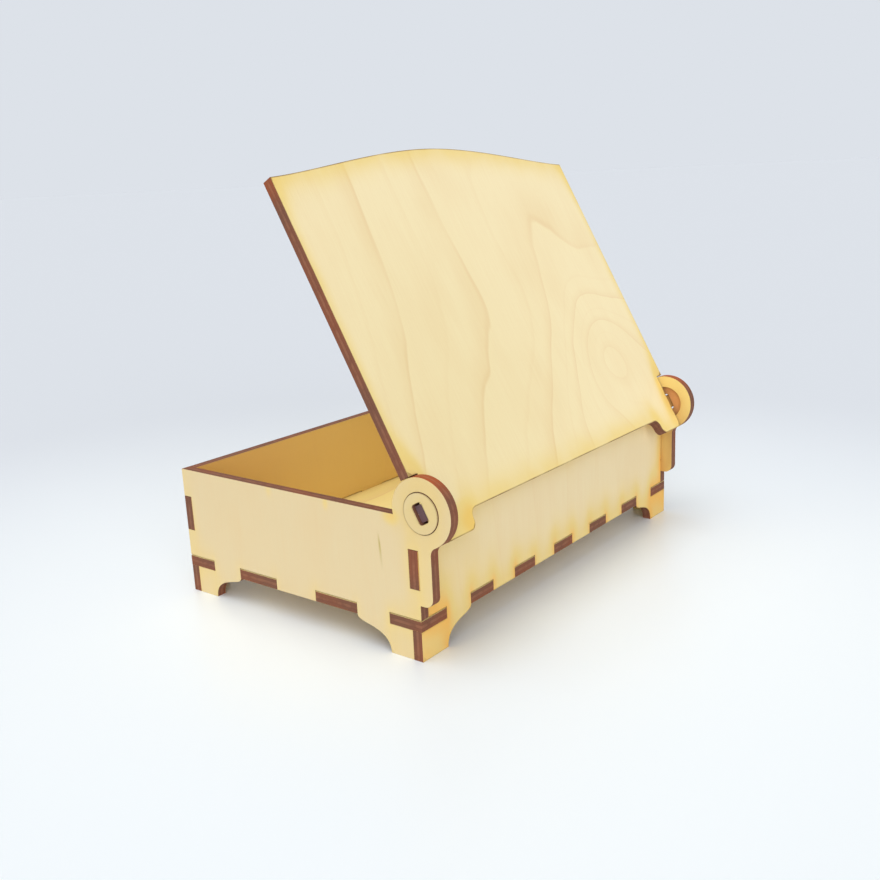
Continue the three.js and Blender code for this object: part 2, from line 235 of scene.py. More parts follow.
class Bench:
    """The node tree of a material or world, and the few ways in which nodes are put on it."""

    SHEEN_BLUR = 0.35  # roughness of the reflection that lies over a surface
    # The Mix node has sockets for each kind of data, and these are the ones for colours
    MIX_SHARE, MIX_FIRST, MIX_SECOND, MIX_RESULT = 0, 6, 7, 2

    def __init__(self, owner: bpy.types.Material | bpy.types.World) -> None:
        """Clears the node tree of its owner."""
        owner.use_nodes = True
        self.tree = owner.node_tree
        self.tree.nodes.clear()

    def node(
        self,
        kind: str,
        settings: Mapping[str, Any] | None = None,
        sockets: Mapping[Any, Wired] | None = None,
    ) -> bpy.types.Node:
        """Adds a node, sets it up and wires it.

        Args:
            kind: Blender's type name of the node.
            settings: The node's own properties, which are set first.
            sockets: Input names or numbers, each with a value or with what feeds it.

        Returns:
            The new node.
        """
        node = self.tree.nodes.new(kind)
        for name, value in (settings or {}).items():
            setattr(node, name, value)
        for key, value in (sockets or {}).items():
            source = value.socket if isinstance(value, Channel) else value
            if isinstance(source, bpy.types.NodeSocket):
                self.tree.links.new(source, node.inputs[key])
            else:
                node.inputs[key].default_value = source
        return node

    def stored(self, name: str) -> Channel:
        """Reads a number that the mesh carries."""
        return Channel(self, self.node("ShaderNodeAttribute", {"attribute_name": name}).outputs["Fac"])

    def stored_place(self) -> Place:
        """Reads the place on the sheet that the mesh carries."""
        stored = self.node("ShaderNodeAttribute", {"attribute_name": SHEET_PLACE})
        split = self.node("ShaderNodeSeparateXYZ", None, {"Vector": stored.outputs["Vector"]})
        return Place(*(Channel(self, output) for output in split.outputs))

    def noise(self, cells: Cells, place: Place, layer: Wired = 0.0) -> Channel:
        """Adds smooth noise.

        Args:
            cells: The size of its cells.
            place: The place on the sheet.
            layer: The slice of the noise that shows, where it doesn't change with the depth.

        Returns:
            The noise, mostly between 0.2 and 0.8.
        """
        third = layer if cells.out is None else place.out / cells.out
        counts = (place.across / cells.across, place.along / cells.along, third)
        point = self.node("ShaderNodeCombineXYZ", None, dict(enumerate(counts)))
        sockets = {"Vector": point.outputs[0], "Scale": 1.0, "Detail": cells.octaves}
        return Channel(self, self.node("ShaderNodeTexNoise", None, sockets).outputs["Fac"])

    def blend(self, share: Wired, first: Wired, second: Wired) -> bpy.types.NodeSocket:
        """Mixes two colours.

        Args:
            share: How much of the second colour shows, from 0 to 1.
            first: The colour at 0.
            second: The colour at 1.

        Returns:
            The mixed colour.
        """
        settings = {"data_type": "RGBA", "blend_type": "MIX", "clamp_factor": True}
        sockets = {self.MIX_SHARE: share, self.MIX_FIRST: first, self.MIX_SECOND: second}
        return self.node("ShaderNodeMix", settings, sockets).outputs[self.MIX_RESULT]

    def spot(self, spot: Spot, place: Place) -> Channel:
        """Draws an oval patch that fades towards its rim.

        Args:
            spot: The patch.
            place: The place on the sheet.

        Returns:
            The patch's strength in its middle, falling to 0 at its rim.
        """
        aside = place.across - spot.across
        ahead = (place.along - spot.along) / spot.stretch
        away = (aside**2 + ahead**2) ** 0.5
        return (1 - away.rise(0.0, spot.reach)) * spot.strength

    def surface(
        self,
        colour: Wired,
        roughness: Wired,
        gloss: float,
        relief: Channel | None = None,
        depth: float = 0.0,
        sheen: Channel | None = None,
    ) -> None:
        """Ends the material with a rough, unvarnished surface.

        Args:
            colour: Base colour.
            roughness: Roughness of the sheen.
            gloss: Strength of the sheen, 0.5 being that of plain varnish.
            relief: Height of the fine relief, from 0 to 1.
            depth: Height of that relief in metres.
            sheen: Weight of a blurred reflection over the surface.
        """
        sockets: dict[str, Wired] = {
            "Base Color": colour,
            "Roughness": roughness,
            "Specular IOR Level": gloss,
        }
        if relief is not None:
            heights = {"Height": relief, "Distance": depth, "Strength": 1.0}
            sockets["Normal"] = self.node("ShaderNodeBump", None, heights).outputs["Normal"]
        if sheen is not None:
            sockets |= {"Coat Weight": sheen, "Coat Roughness": self.SHEEN_BLUR}
        shader = self.node("ShaderNodeBsdfPrincipled", None, sockets)
        self.node("ShaderNodeOutputMaterial", None, {"Surface": shader.outputs[0]})


@dataclass(frozen=True)
class StraightFigure:
    """Figure of a plain veneer, whose growth lines run straight along the grain and sway a little."""

    spacing: float = 17.0  # mm between growth lines
    shift: float = 0.0  # mm from the middle of the sheet to a growth line
    sway: float = 2.5  # mm to either side
    sway_length: float = 46.0  # mm from one bend to the next
    sway_lag: float = 20.0  # mm across the sheet in which the bends fall behind by one radian

    def numbers_at(self, places: np.ndarray) -> np.ndarray:
        """Numbers the growth lines.

        Args:
            places: Millimetres across and along the grain, a row for each point.

        Returns:
            A number for each point, which is whole on a growth line.
        """
        across, along = places[:, 0], places[:, 1]
        swayed = across + self.sway * np.sin(along / self.sway_length * math.pi + across / self.sway_lag)
        return (swayed - self.shift) / self.spacing


@dataclass(frozen=True)
class GrowthLine:
    """A growth line: its number, counted inwards, and the places in millimetres that it runs through."""

    number: float
    places: tuple[tuple[float, float], ...]


@dataclass(frozen=True)
class DrawnFigure:
    """Figure of a veneer cut through a swelling of the log, with arches and an eye.

    The numbers between its lines are the heights of a thin plate that is bent to pass close to them.
    """

    PLANE_TERMS = 3  # height and two slopes of the flat plate
    SHORTEST_GAP = 0.001  # mm, so that its logarithm is finite

    lines: tuple[GrowthLine, ...]
    slack: float = 60.0  # how far the plate may pass a chosen place by, so that it bends evenly

    def numbers_at(self, places: np.ndarray) -> np.ndarray:
        """Numbers the growth lines.

        Args:
            places: Millimetres across and along the grain, a row for each point.

        Returns:
            A number for each point, which is whole on a growth line.
        """
        pins = np.array([place for line in self.lines for place in line.places])
        heights = np.array([line.number for line in self.lines for _ in line.places])
        count = len(pins)
        size = count + self.PLANE_TERMS
        system = np.zeros((size, size))
        system[:count, :count] = self._pull(pins, pins) + self.slack * np.eye(count)
        system[:count, count:] = np.column_stack([np.ones(count), pins])
        system[count:, :count] = system[:count, count:].T
        weights = np.linalg.solve(system, np.concatenate([heights, np.zeros(self.PLANE_TERMS)]))
        pulls, height, slopes = weights[:count], weights[count], weights[count + 1 :]
        return self._pull(places, pins) @ pulls + height + places @ slopes

    def _pull(self, places: np.ndarray, pins: np.ndarray) -> np.ndarray:
        """Works out how strongly each pin bends the plate at each place."""
        gaps = np.linalg.norm(places[:, None, :] - pins[None], axis=2)
        return gaps**2 * np.log(np.maximum(gaps, self.SHORTEST_GAP))


# The lid's veneer: nearly straight lines at the near end, arches and an eye at the far end
LID_FIGURE = DrawnFigure((
    GrowthLine(-1.0, ((70, 95), (70, 60), (76, 20))),
    GrowthLine(0.0, ((40, 91), (41, 72), (42, 60), (46, 46), (54, 26), (62, 6))),
    GrowthLine(1.0, (
        (10, 96), (9, 76), (9, 56), (8, 46), (13, 36), (22, 26), (30, 18), (35, 10), (42, -3),
    )),
    GrowthLine(2.0, (
        (-36, 70), (-29, 62), (-25, 49), (-20, 37), (-7, 20), (2, 10), (7, 0), (-44, 65), (-52, 57),
    )),
    GrowthLine(3.0, ((-39, 42), (-33, 35), (-23, 23), (-13, 6), (-55, 40), (-66, 38))),
    GrowthLine(4.0, ((-40, 32), (-30, 22), (-28, 11), (-35, 3), (-57, 28), (-61, 22))),
    GrowthLine(5.0, ((-36, 20), (-42, 26), (-48, 20), (-42, 14))),
))


@dataclass(frozen=True)
class Streak:
    """A thin mineral streak in the veneer, in millimetres from the sheet's origin."""

    across: float
    start: float
    end: float
    slant: float  # mm across for each mm along
    width: float = 0.35  # from its middle to where it ends


@dataclass(frozen=True)
class FigureShading:
    """How the growth lines are shaded. Its shares are of the way from one line to the next."""

    darkest: float = 0.975  # share at which a line is darkest
    soft_start: float = 0.72  # share at which its soft side begins
    soft_depth: float = 0.5
    thread_start: float = 0.93  # share at which the dark thread along it begins
    thread_depth: float = 0.4
    fine_offset: float = 0.45  # share by which the finer threads lie aside
    fine_start: float = 0.90  # share at which such a thread begins
    fine_depth: float = 0.2
    waver: float = 0.14  # share by which the lines waver
    waver_cells: Cells = Cells(9.0, 30.0, octaves=1.0)
    presence_cells: Cells = Cells(30.0, 40.0, octaves=1.0)
    presence_span: Span = (0.25, 0.65)  # of the noise, between which lines grow from faint to full
    least_presence: float = 0.3  # how much of a faint line shows

    def _thread(self, turns: Channel, start: float) -> Channel:
        """Draws threads that darken slowly from their start and end sharply."""
        return turns.rise(start, self.darkest) * (1 - turns.rise(self.darkest, 1.0))

    def draw(self, bench: Bench, place: Place, slice_of_log: float) -> Channel:
        """Draws the growth lines, each with one soft side.

        Args:
            bench: The material's node tree.
            place: The place on the sheet.
            slice_of_log: The veneer's own slice of the noise.

        Returns:
            How dark the figure is, from 0 to about 1.
        """
        waver = bench.noise(self.waver_cells, place, slice_of_log + WAVER_SLICE) - NOISE_MIDDLE
        turns = bench.stored(GROWTH) + waver * self.waver
        main = turns.fraction()
        between = (turns + self.fine_offset).fraction()
        shade = self._thread(main, self.soft_start) * self.soft_depth
        shade = shade + self._thread(main, self.thread_start) * self.thread_depth
        shade = shade + self._thread(between, self.fine_start) * self.fine_depth
        presence = bench.noise(self.presence_cells, place, slice_of_log + PRESENCE_SLICE)
        shown = presence.rise(*self.presence_span) * (1 - self.least_presence) + self.least_presence
        return shade * shown


@dataclass(frozen=True)
class VeneerGrain:
    """Fine grain of the veneer: fibres, short flecks and wide clouds, all a little darker."""

    fibre_cells: Cells = Cells(0.55, 16.0)
    fibre_level: float = 0.35  # of the noise above which the wood darkens
    fibre_depth: float = 0.22
    fleck_cells: Cells = Cells(0.3, 2.4, octaves=1.0)
    fleck_span: Span = (0.60, 0.80)
    fleck_depth: float = 0.08
    cloud_cells: Cells = Cells(14.0, 34.0)
    cloud_level: float = 0.45
    cloud_depth: float = 0.5
    roughness: float = 0.55
    fibre_roughness: float = 0.12  # added by the fibres
    gloss: float = 0.3
    fibre_relief: float = 0.6
    fleck_relief: float = 0.4
    relief_height: float = 0.00004  # metres


@dataclass(frozen=True)
class HeatTint:
    """How the laser's heat tints the veneer. Its spans are of heat, 1 being that of a straight cut."""

    patch_cells: Cells = Cells(11.0, 14.0)
    patch_gain: float = 0.9  # heat that a patch adds where it is strongest
    patch_base: float = 0.55  # heat that counts where there is no patch
    scorch_base: float = 0.5  # the same for a scorch
    warm_span: Span = (0.2, 1.5)
    toasted_span: Span = (1.3, 2.9)
    tint_depth: float = 0.85
    burnt_span: Span = (2.5, 3.0)
    burnt_depth: float = 0.8
    char_gain: float = 2.0  # strength of the charred line in a patch
    streak_depth: float = 0.6  # strength of the mineral streaks


@dataclass(frozen=True)
class VeneerFinish:
    """Face of a sheet: pale veneer with a faint figure, tinted by the laser beside its cuts, with painted
    shade in places.
    """

    name: str
    slice_of_log: float  # which slice of the noise the veneer shows
    pale: Colour = srgb(229, 208, 164)
    # The inner face is a deeper golden than the outer, partly painted shade of the inside of the box
    inner_pale: Colour = srgb(240, 208, 134)
    deep: Colour = srgb(230, 191, 132)
    warm: Colour = srgb(238, 209, 128)
    toasted: Colour = srgb(246, 186, 86)
    # A darker toast on the inner face, partly painted shade
    inner_toasted: Colour = srgb(208, 156, 84)
    burnt: Colour = srgb(138, 92, 46)
    charred: Colour = srgb(98, 56, 34)
    mineral: Colour = srgb(190, 168, 92)
    # Colour of the darker patches, which on the lid and the inner faces are painted shade
    dusk: Colour = srgb(210, 188, 150)
    figure_depth: float = 0.5
    burns: bool = False  # whether the hottest corners are burnt
    most_heat: float = 4.0  # past which the tint grows no stronger
    char: float = 0.25  # strength of the charred line, which on the lid and the discs is also painted shade of the gaps beside them
    char_width: float = 0.16  # mm
    outer_heat: float = 1.0  # strength of the tint on the outer face
    inner_heat: float = 1.0  # and on the inner face
    streaks: tuple[Streak, ...] = ()
    scorches: tuple[Spot, ...] = ()
    darker_patches_and_painted_shade: tuple[Spot, ...] = ()  # darker patches on the outer face: painted shade on the lid, a darker tone about the ears
    inner_painted_shade: tuple[Spot, ...] = ()  # painted shade on the inner face
    calm: tuple[Spot, ...] = ()  # where the figure is fainter
    shading: FigureShading = FigureShading()
    grain: VeneerGrain = VeneerGrain()
    tint: HeatTint = HeatTint()

    def _streaks(self, place: Place) -> Wired:
        """Draws the mineral streaks.

        Args:
            place: The place on the sheet.

        Returns:
            How dark the streaks are, from 0 to 1.
        """
        shade: Wired = 0.0
        for streak in self.streaks:
            middle = (streak.start + streak.end) / 2
            half = (streak.end - streak.start) / 2
            ahead = place.along - middle
            aside = abs(place.across - ahead * streak.slant - streak.across)
            tapered = (1 - abs(ahead) / half).at_least(0)
            shade = (1 - aside / streak.width).at_least(0) * tapered + shade
        return shade

    def build(self) -> bpy.types.Material:
        """Makes the material.

        Returns:
            The finished material.
        """
        material = bpy.data.materials.new(self.name)
        bench = Bench(material)
        grain, tint = self.grain, self.tint
        place = bench.stored_place()
        outer = place.out.rise(-SIDE_STEP, SIDE_STEP)
        layer = self.slice_of_log + (1 - outer) * INNER_SLICE
        figure = self.shading.draw(bench, place, self.slice_of_log)
        for spot in self.calm:
            figure = figure * (1 - bench.spot(spot, place))
        fibres = bench.noise(grain.fibre_cells, place, layer)
        flecks = bench.noise(grain.fleck_cells, place, layer).rise(*grain.fleck_span)
        clouds = bench.noise(grain.cloud_cells, place, layer)

        # The inner face takes its deeper colour, which is partly painted shade
        wood = bench.blend(outer, self.inner_pale, self.pale)
        wood = bench.blend(figure * self.figure_depth, wood, self.deep)
        wood = bench.blend((fibres - grain.fibre_level).at_least(0) * grain.fibre_depth, wood, self.deep)
        wood = bench.blend(flecks * grain.fleck_depth, wood, self.deep)
        wood = bench.blend((clouds - grain.cloud_level).at_least(0) * grain.cloud_depth, wood, self.deep)
        if self.streaks:
            streaks = self._streaks(place) * outer
            wood = bench.blend(streaks * tint.streak_depth, wood, self.mineral)

        gap = bench.stored(CUT_GAP)
        patches = bench.noise(tint.patch_cells, place, layer + PATCH_SLICE)
        side_heat = outer * self.outer_heat + (1 - outer) * self.inner_heat
        stored_heat = bench.stored(HEAT)
        taken = patches * tint.patch_gain + tint.patch_base
        heat = stored_heat.at_most(self.most_heat) * taken * side_heat
        for scorch in self.scorches:
            heat = heat + bench.spot(scorch, place) * (patches + tint.scorch_base) * outer
        wood = bench.blend(heat.rise(*tint.warm_span) * tint.tint_depth, wood, self.warm)
        toasted = bench.blend(outer, self.inner_toasted, self.toasted)
        wood = bench.blend(heat.rise(*tint.toasted_span) * tint.tint_depth, wood, toasted)
        # Darker patches: painted shade on the lid and on the inner faces of the walls, a darker tone about
        # the ears
        for spots, share in ((self.darker_patches_and_painted_shade, outer), (self.inner_painted_shade, 1 - outer)):
            for spot in spots:
                wood = bench.blend(bench.spot(spot, place) * share, wood, self.dusk)
        if self.burns:
            wood = bench.blend(stored_heat.rise(*tint.burnt_span) * tint.burnt_depth, wood, self.burnt)
        charred = (1 - gap / self.char_width).at_least(0) * (patches * tint.char_gain)
        wood = bench.blend(charred.at_most(1) * self.char, wood, self.charred)

        roughness = grain.roughness + fibres * grain.fibre_roughness
        relief = fibres * grain.fibre_relief + flecks * grain.fleck_relief
        bench.surface(wood, roughness, grain.gloss, relief, grain.relief_height)
        return material


@dataclass(frozen=True)
class ScorchedEdgeFinish:
    """Cut edge of a sheet: scorched brown, with the layers of the ply and the marks of the laser."""

    name: str
    stretch_of_cut: float  # which stretch of the noise the edge shows
    embers: tuple[Spot, ...] = ()  # where the edge is redder, which on the ears' rims is partly a painted highlight
    tarred: bool = False  # whether the hottest corners are coated with tar
    brown: Colour = srgb(126, 86, 68)
    dark: Colour = srgb(106, 66, 54)
    # Redder scorch, also the painted highlight at the top of the ears' rims
    ember: Colour = srgb(168, 86, 50)
    ash: Colour = srgb(176, 124, 94)  # on the core
    tar: Colour = srgb(108, 86, 92)
    glue: Colour = srgb(92, 54, 42)
    bare: Colour = srgb(222, 172, 112)  # where specks of the wood show
    core_share: float = 0.3  # of the sheet's thickness that is the core
    core_blur: float = 0.06  # mm
    seam_width: float = 0.12  # mm to either side of a seam of glue
    seam_depth: float = 0.4
    stria_cells: Cells = Cells(0.16, 0.16, 5.0, octaves=1.0)
    stria_level: float = 0.2  # of the noise above which the edge darkens
    stria_depth: float = 0.5
    blotch_cells: Cells = Cells(2.2, 2.2, 1.6)
    blotch_span: Span = (0.35, 0.7)
    blotch_depth: float = 0.4
    glow_cells: Cells = Cells(18.0, 18.0, 9.0, octaves=1.0)
    glow_span: Span = (0.46, 0.70)
    glow_depth: float = 0.3
    speck_cells: Cells = Cells(0.45, 0.45, 0.35, octaves=1.0)
    speck_span: Span = (0.58, 0.72)
    speck_depth: float = 0.35
    speck_rim: Span = (PLY / 2 - 0.5, PLY / 2 - 0.1)  # mm from the middle of the sheet
    ash_span: Span = (0.3, 0.6)
    ash_depth: float = 0.3
    tar_span: Span = (2.3, 3.0)  # of heat
    tar_depth: float = 0.9
    roughness: float = 0.62
    stria_roughness: float = 0.2  # added by the striae
    gloss: float = 0.12
    relief_height: float = 0.00003  # metres

    def build(self) -> bpy.types.Material:
        """Makes the material.

        Returns:
            The finished material.
        """
        material = bpy.data.materials.new(self.name)
        bench = Bench(material)
        place = bench.stored_place()
        from_middle = abs(place.out)
        core_edge = PLY / 2 * self.core_share
        core = 1 - from_middle.rise(core_edge - self.core_blur, core_edge + self.core_blur)
        seam = 1 - abs(from_middle - core_edge).rise(0.0, self.seam_width)
        striae = bench.noise(self.stria_cells, place)
        blotches = bench.noise(self.blotch_cells, place)
        moved = replace(place, across=place.across + self.stretch_of_cut * self.glow_cells.across)
        glow = bench.noise(self.glow_cells, moved).rise(*self.glow_span) * self.glow_depth
        # The ember spots redden the edge, which on the ears' rims is partly a painted highlight
        for spot in self.embers:
            glow = glow.at_least(bench.spot(spot, place))
        specks = bench.noise(self.speck_cells, place).rise(*self.speck_span)
        specks = specks * from_middle.rise(*self.speck_rim)

        soot = bench.blend((striae - self.stria_level) * self.stria_depth, self.brown, self.dark)
        soot = bench.blend(blotches.rise(*self.blotch_span) * self.blotch_depth, soot, self.brown)
        soot = bench.blend(glow, soot, self.ember)
        soot = bench.blend(core * blotches.rise(*self.ash_span) * self.ash_depth, soot, self.ash)
        soot = bench.blend(seam * self.seam_depth, soot, self.glue)
        if self.tarred:
            soot = bench.blend(bench.stored(HEAT).rise(*self.tar_span) * self.tar_depth, soot, self.tar)
        soot = bench.blend(specks * self.speck_depth, soot, self.bare)
        roughness = self.roughness + striae * self.stria_roughness
        bench.surface(soot, roughness, self.gloss, striae, self.relief_height)
        return material


class Lie(Enum):
    """How a sheet lies in the closed box: the directions across and along its grain, and out of it."""

    FLAT = ((0, 1, 0), (1, 0, 0), (0, 0, 1))
    LENGTHWISE = ((1, 0, 0), (0, 0, 1), (0, 1, 0))
    CROSSWISE = ((0, 1, 0), (0, 0, 1), (1, 0, 0))
    COVERING = ((1, 0, 0), (0, -1, 0), (0, 0, 1))


@dataclass
class Sheet:
    """One piece of plywood, dressed from its solid: eased corners, veneer on its faces, scorched edges."""

    name: str
    node: str
    body: str
    slot: str
    lie: Lie
    veneer: VeneerFinish
    edge: ScorchedEdgeFinish
    opened: float = 0.0  # radians by which the piece is turned about the hinge
    outward: float = 1.0  # -1 where the outer face looks the other way
    origin: Vector = field(default_factory=Vector)  # in metres, in the middle of its thickness
    figure: StraightFigure | DrawnFigure = StraightFigure()
    easing: float = 0.07  # mm taken off every corner of the cut
    grid: float = 1.5  # mm between the lines that the faces are divided by
    heat_reach_across: float = 1.7  # mm that the laser's heat spreads across the grain
    heat_reach_along: float = 4.2  # mm that it spreads along the grain
    char_stretch: float = 2.5  # the charred line is wider by this much where the cut runs across the grain
    turning_heat: float = 0.8  # added where the laser slowed to turn square, 1 being a long straight cut

    def directions(self) -> tuple[Vector, Vector, Vector]:
        """Works out the sheet's directions as it stands.

        Returns:
            The unit vectors across the grain, along the grain and out of the outer face.
        """
        turn = Quaternion((1, 0, 0), -self.opened)
        across, along, out = (turn @ Vector(way) for way in self.lie.value)
        return across, along, out * self.outward

    def build(self) -> bpy.types.Object:
        """Makes the piece and puts it in the place of its solid.

        Returns:
            The new piece.
        """
        bm = self._merged_solid()
        self._ease_corners(bm)
        self._divide_faces(bm)
        self._mark_faces(bm)
        mesh = bpy.data.meshes.new(self.name)
        self._store_place_and_heat(bm)
        bmesh.ops.scale(bm, vec=(MM, MM, MM), verts=bm.verts)
        bm.to_mesh(mesh)
        bm.free()
        mesh.materials.append(self.veneer.build())
        mesh.materials.append(self.edge.build())
        piece = bpy.data.objects.new(self.name, mesh)
        bpy.context.scene.collection.objects.link(piece)
        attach(piece, self.body)
        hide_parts(self.node)
        log.info("%s: %d faces", self.name, len(mesh.polygons))
        return piece

    def _merged_solid(self) -> bmesh.types.BMesh:
        """Copies the solid in millimetres, closed up and with its flat faces whole.

        Returns:
            The copy.
        """
        bm = bmesh.new()
        bm.from_mesh(frame["nodes"][self.node].data)
        bmesh.ops.scale(bm, vec=(1 / MM, 1 / MM, 1 / MM), verts=bm.verts)
        bmesh.ops.remove_doubles(bm, verts=bm.verts, dist=SAME_POINT)
        bmesh.ops.dissolve_degenerate(bm, edges=bm.edges, dist=SLIVER)
        bmesh.ops.dissolve_limit(
            bm,
            angle_limit=SAME_PLANE,
            use_dissolve_boundaries=False,
            verts=bm.verts,
            edges=bm.edges,
        )
        return bm

    def _is_veneer(self, face: bmesh.types.BMFace) -> bool:
        """Tells a face of the sheet, with its eased corners, from its cut edge."""
        return abs(face.normal.dot(self.directions()[2])) > LEAST_FACING

    def _ease_corners(self, bm: bmesh.types.BMesh) -> None:
        """Takes the sharp corner off both rims of every cut.

        Args:
            bm: The mesh, in millimetres.
        """
        bm.normal_update()
        rims = [e for e in bm.edges if len({self._is_veneer(f) for f in e.link_faces}) == 2]
        bmesh.ops.bevel(
            bm,
            geom=rims,
            offset=self.easing,
            offset_type="OFFSET",
            segments=1,
            profile=0.5,
            affect="EDGES",
            clamp_overlap=False,
            material=-1,
        )

    def _divide_faces(self, bm: bmesh.types.BMesh) -> None:
        """Divides the sheet by a square grid, so that it can carry values that change over it.

        Args:
            bm: The mesh, in millimetres.
        """
        origin = self.origin / MM
        for way in self.directions()[:2]:
            reaches = [(v.co - origin).dot(way) for v in bm.verts]
            first = math.ceil(min(reaches) / self.grid)
            last = math.floor(max(reaches) / self.grid)
            for step in range(first, last + 1):
                bmesh.ops.bisect_plane(
                    bm,
                    geom=[*bm.verts, *bm.edges, *bm.faces],
                    dist=ON_GRID,
                    plane_co=origin + way * (step * self.grid),
                    plane_no=way,
                )

    def _mark_faces(self, bm: bmesh.types.BMesh) -> None:
        """Gives the cut edges their material and smooths them where they curve.

        Args:
            bm: The mesh, in millimetres.
        """
        bm.normal_update()
        for face in bm.faces:
            face.material_index = VENEER_NUMBER if self._is_veneer(face) else EDGE_NUMBER
            face.smooth = True
        for rim in bm.edges:
            rim.smooth = rim.calc_face_angle(math.pi) < SMOOTH_ANGLE

    def _store_place_and_heat(self, bm: bmesh.types.BMesh) -> None:
        """Stores each point's place on the sheet, its distance to the cut and the heat that it took.

        Args:
            bm: The mesh, in millimetres.
        """
        ways = np.array([way[:] for way in self.directions()])
        points = np.array([v.co[:] for v in bm.verts])
        places = (points - np.array((self.origin / MM)[:])) @ ways.T
        bm.verts.index_update()
        both = {VENEER_NUMBER, EDGE_NUMBER}
        cuts = [e for e in bm.edges if {f.material_index for f in e.link_faces} == both]
        ends = np.array([[places[v.index][:2] for v in e.verts] for e in cuts])
        turns = self._turns(cuts)
        bends = np.array([places[v.index][:2] for v in turns])
        squash = (1, self.char_stretch)
        values = {
            CUT_GAP: self._gaps_to_cut(places[:, :2] / squash, ends / squash),
            HEAT: self._heat_of_cut(places[:, :2], ends, bends, np.array(list(turns.values()))),
            GROWTH: self.figure.numbers_at(places[:, :2]),
        }
        place_layer = bm.verts.layers.float_vector.new(SHEET_PLACE)
        for vertex in bm.verts:
            vertex[place_layer] = Vector(places[vertex.index])
        for name, numbers in values.items():
            layer = bm.verts.layers.float.new(name)
            for vertex in bm.verts:
                vertex[layer] = float(numbers[vertex.index])

    @staticmethod
    def _turns(cuts: list[bmesh.types.BMEdge]) -> dict[bmesh.types.BMVert, float]:
        """Finds where the cut's outline turns.

        Args:
            cuts: The edges of the mesh that run along the cut.

        Returns:
            The points at which it turns, each with its share of a square turn.
        """
        meeting: dict[bmesh.types.BMVert, list[Vector]] = {}
        for cut in cuts:
            for vertex in cut.verts:
                meeting.setdefault(vertex, []).append(cut.other_vert(vertex).co - vertex.co)
        turns = {v: (math.pi - ways[0].angle(ways[1])) / (math.pi / 2) for v, ways in meeting.items()}
        return {v: turn for v, turn in turns.items() if turn > SLIGHTEST_TURN}

    @staticmethod
    def _gaps_to_cut(points: np.ndarray, ends: np.ndarray) -> np.ndarray:
        """Measures how near the cut is to each point.

        Args:
            points: Places on the sheet, in millimetres.
            ends: The two ends of each short stretch of the cut.

        Returns:
            The nearest distance in millimetres.
        """
        starts, runs = ends[:, 0], ends[:, 1] - ends[:, 0]
        squares = np.maximum((runs**2).sum(axis=1), SMALLEST_SQUARE)
        gaps = []
        for lot in lots_of(points):
            offsets = lot[:, None, :] - starts[None]
            shares = np.clip((offsets * runs[None]).sum(2) / squares, 0, 1)
            gaps.append(np.linalg.norm(offsets - shares[..., None] * runs[None], axis=2).min(axis=1))
        return np.concatenate(gaps)

    def _heat_of_cut(
        self, points: np.ndarray, ends: np.ndarray, bends: np.ndarray, turns: np.ndarray
    ) -> np.ndarray:
        """Adds up the laser's heat at each point, which reaches further along the grain than across it.

        Args:
            points: Places on the sheet, in millimetres.
            ends: The two ends of each short stretch of the cut.
            bends: The points at which the cut turns.
            turns: How far it turns there, 1 being square.

        Returns:
            The heat, which is about 1 beside a long straight cut.
        """
        reach = np.array([self.heat_reach_across, self.heat_reach_along])
        places, stretches, corners_at = points / reach, ends / reach, bends / reach
        middles = stretches.mean(axis=1)
        lengths = np.linalg.norm(stretches[:, 1] - stretches[:, 0], axis=1)
        heats = []
        for lot in lots_of(places):
            straight = np.exp(-np.linalg.norm(lot[:, None, :] - middles[None], axis=2)) @ lengths / 2
            turning = np.exp(-np.linalg.norm(lot[:, None, :] - corners_at[None], axis=2)) @ turns
            heats.append(straight + turning * self.turning_heat)
        # Both faces of the sheet have a rim, so every stretch and corner of the cut counts twice.
        return np.concatenate(heats) / 2


def middle_of(node: str) -> Vector:
    """Works out the middle of the space that a solid takes up."""
    lowest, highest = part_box(node)
    return (lowest + highest) / 2


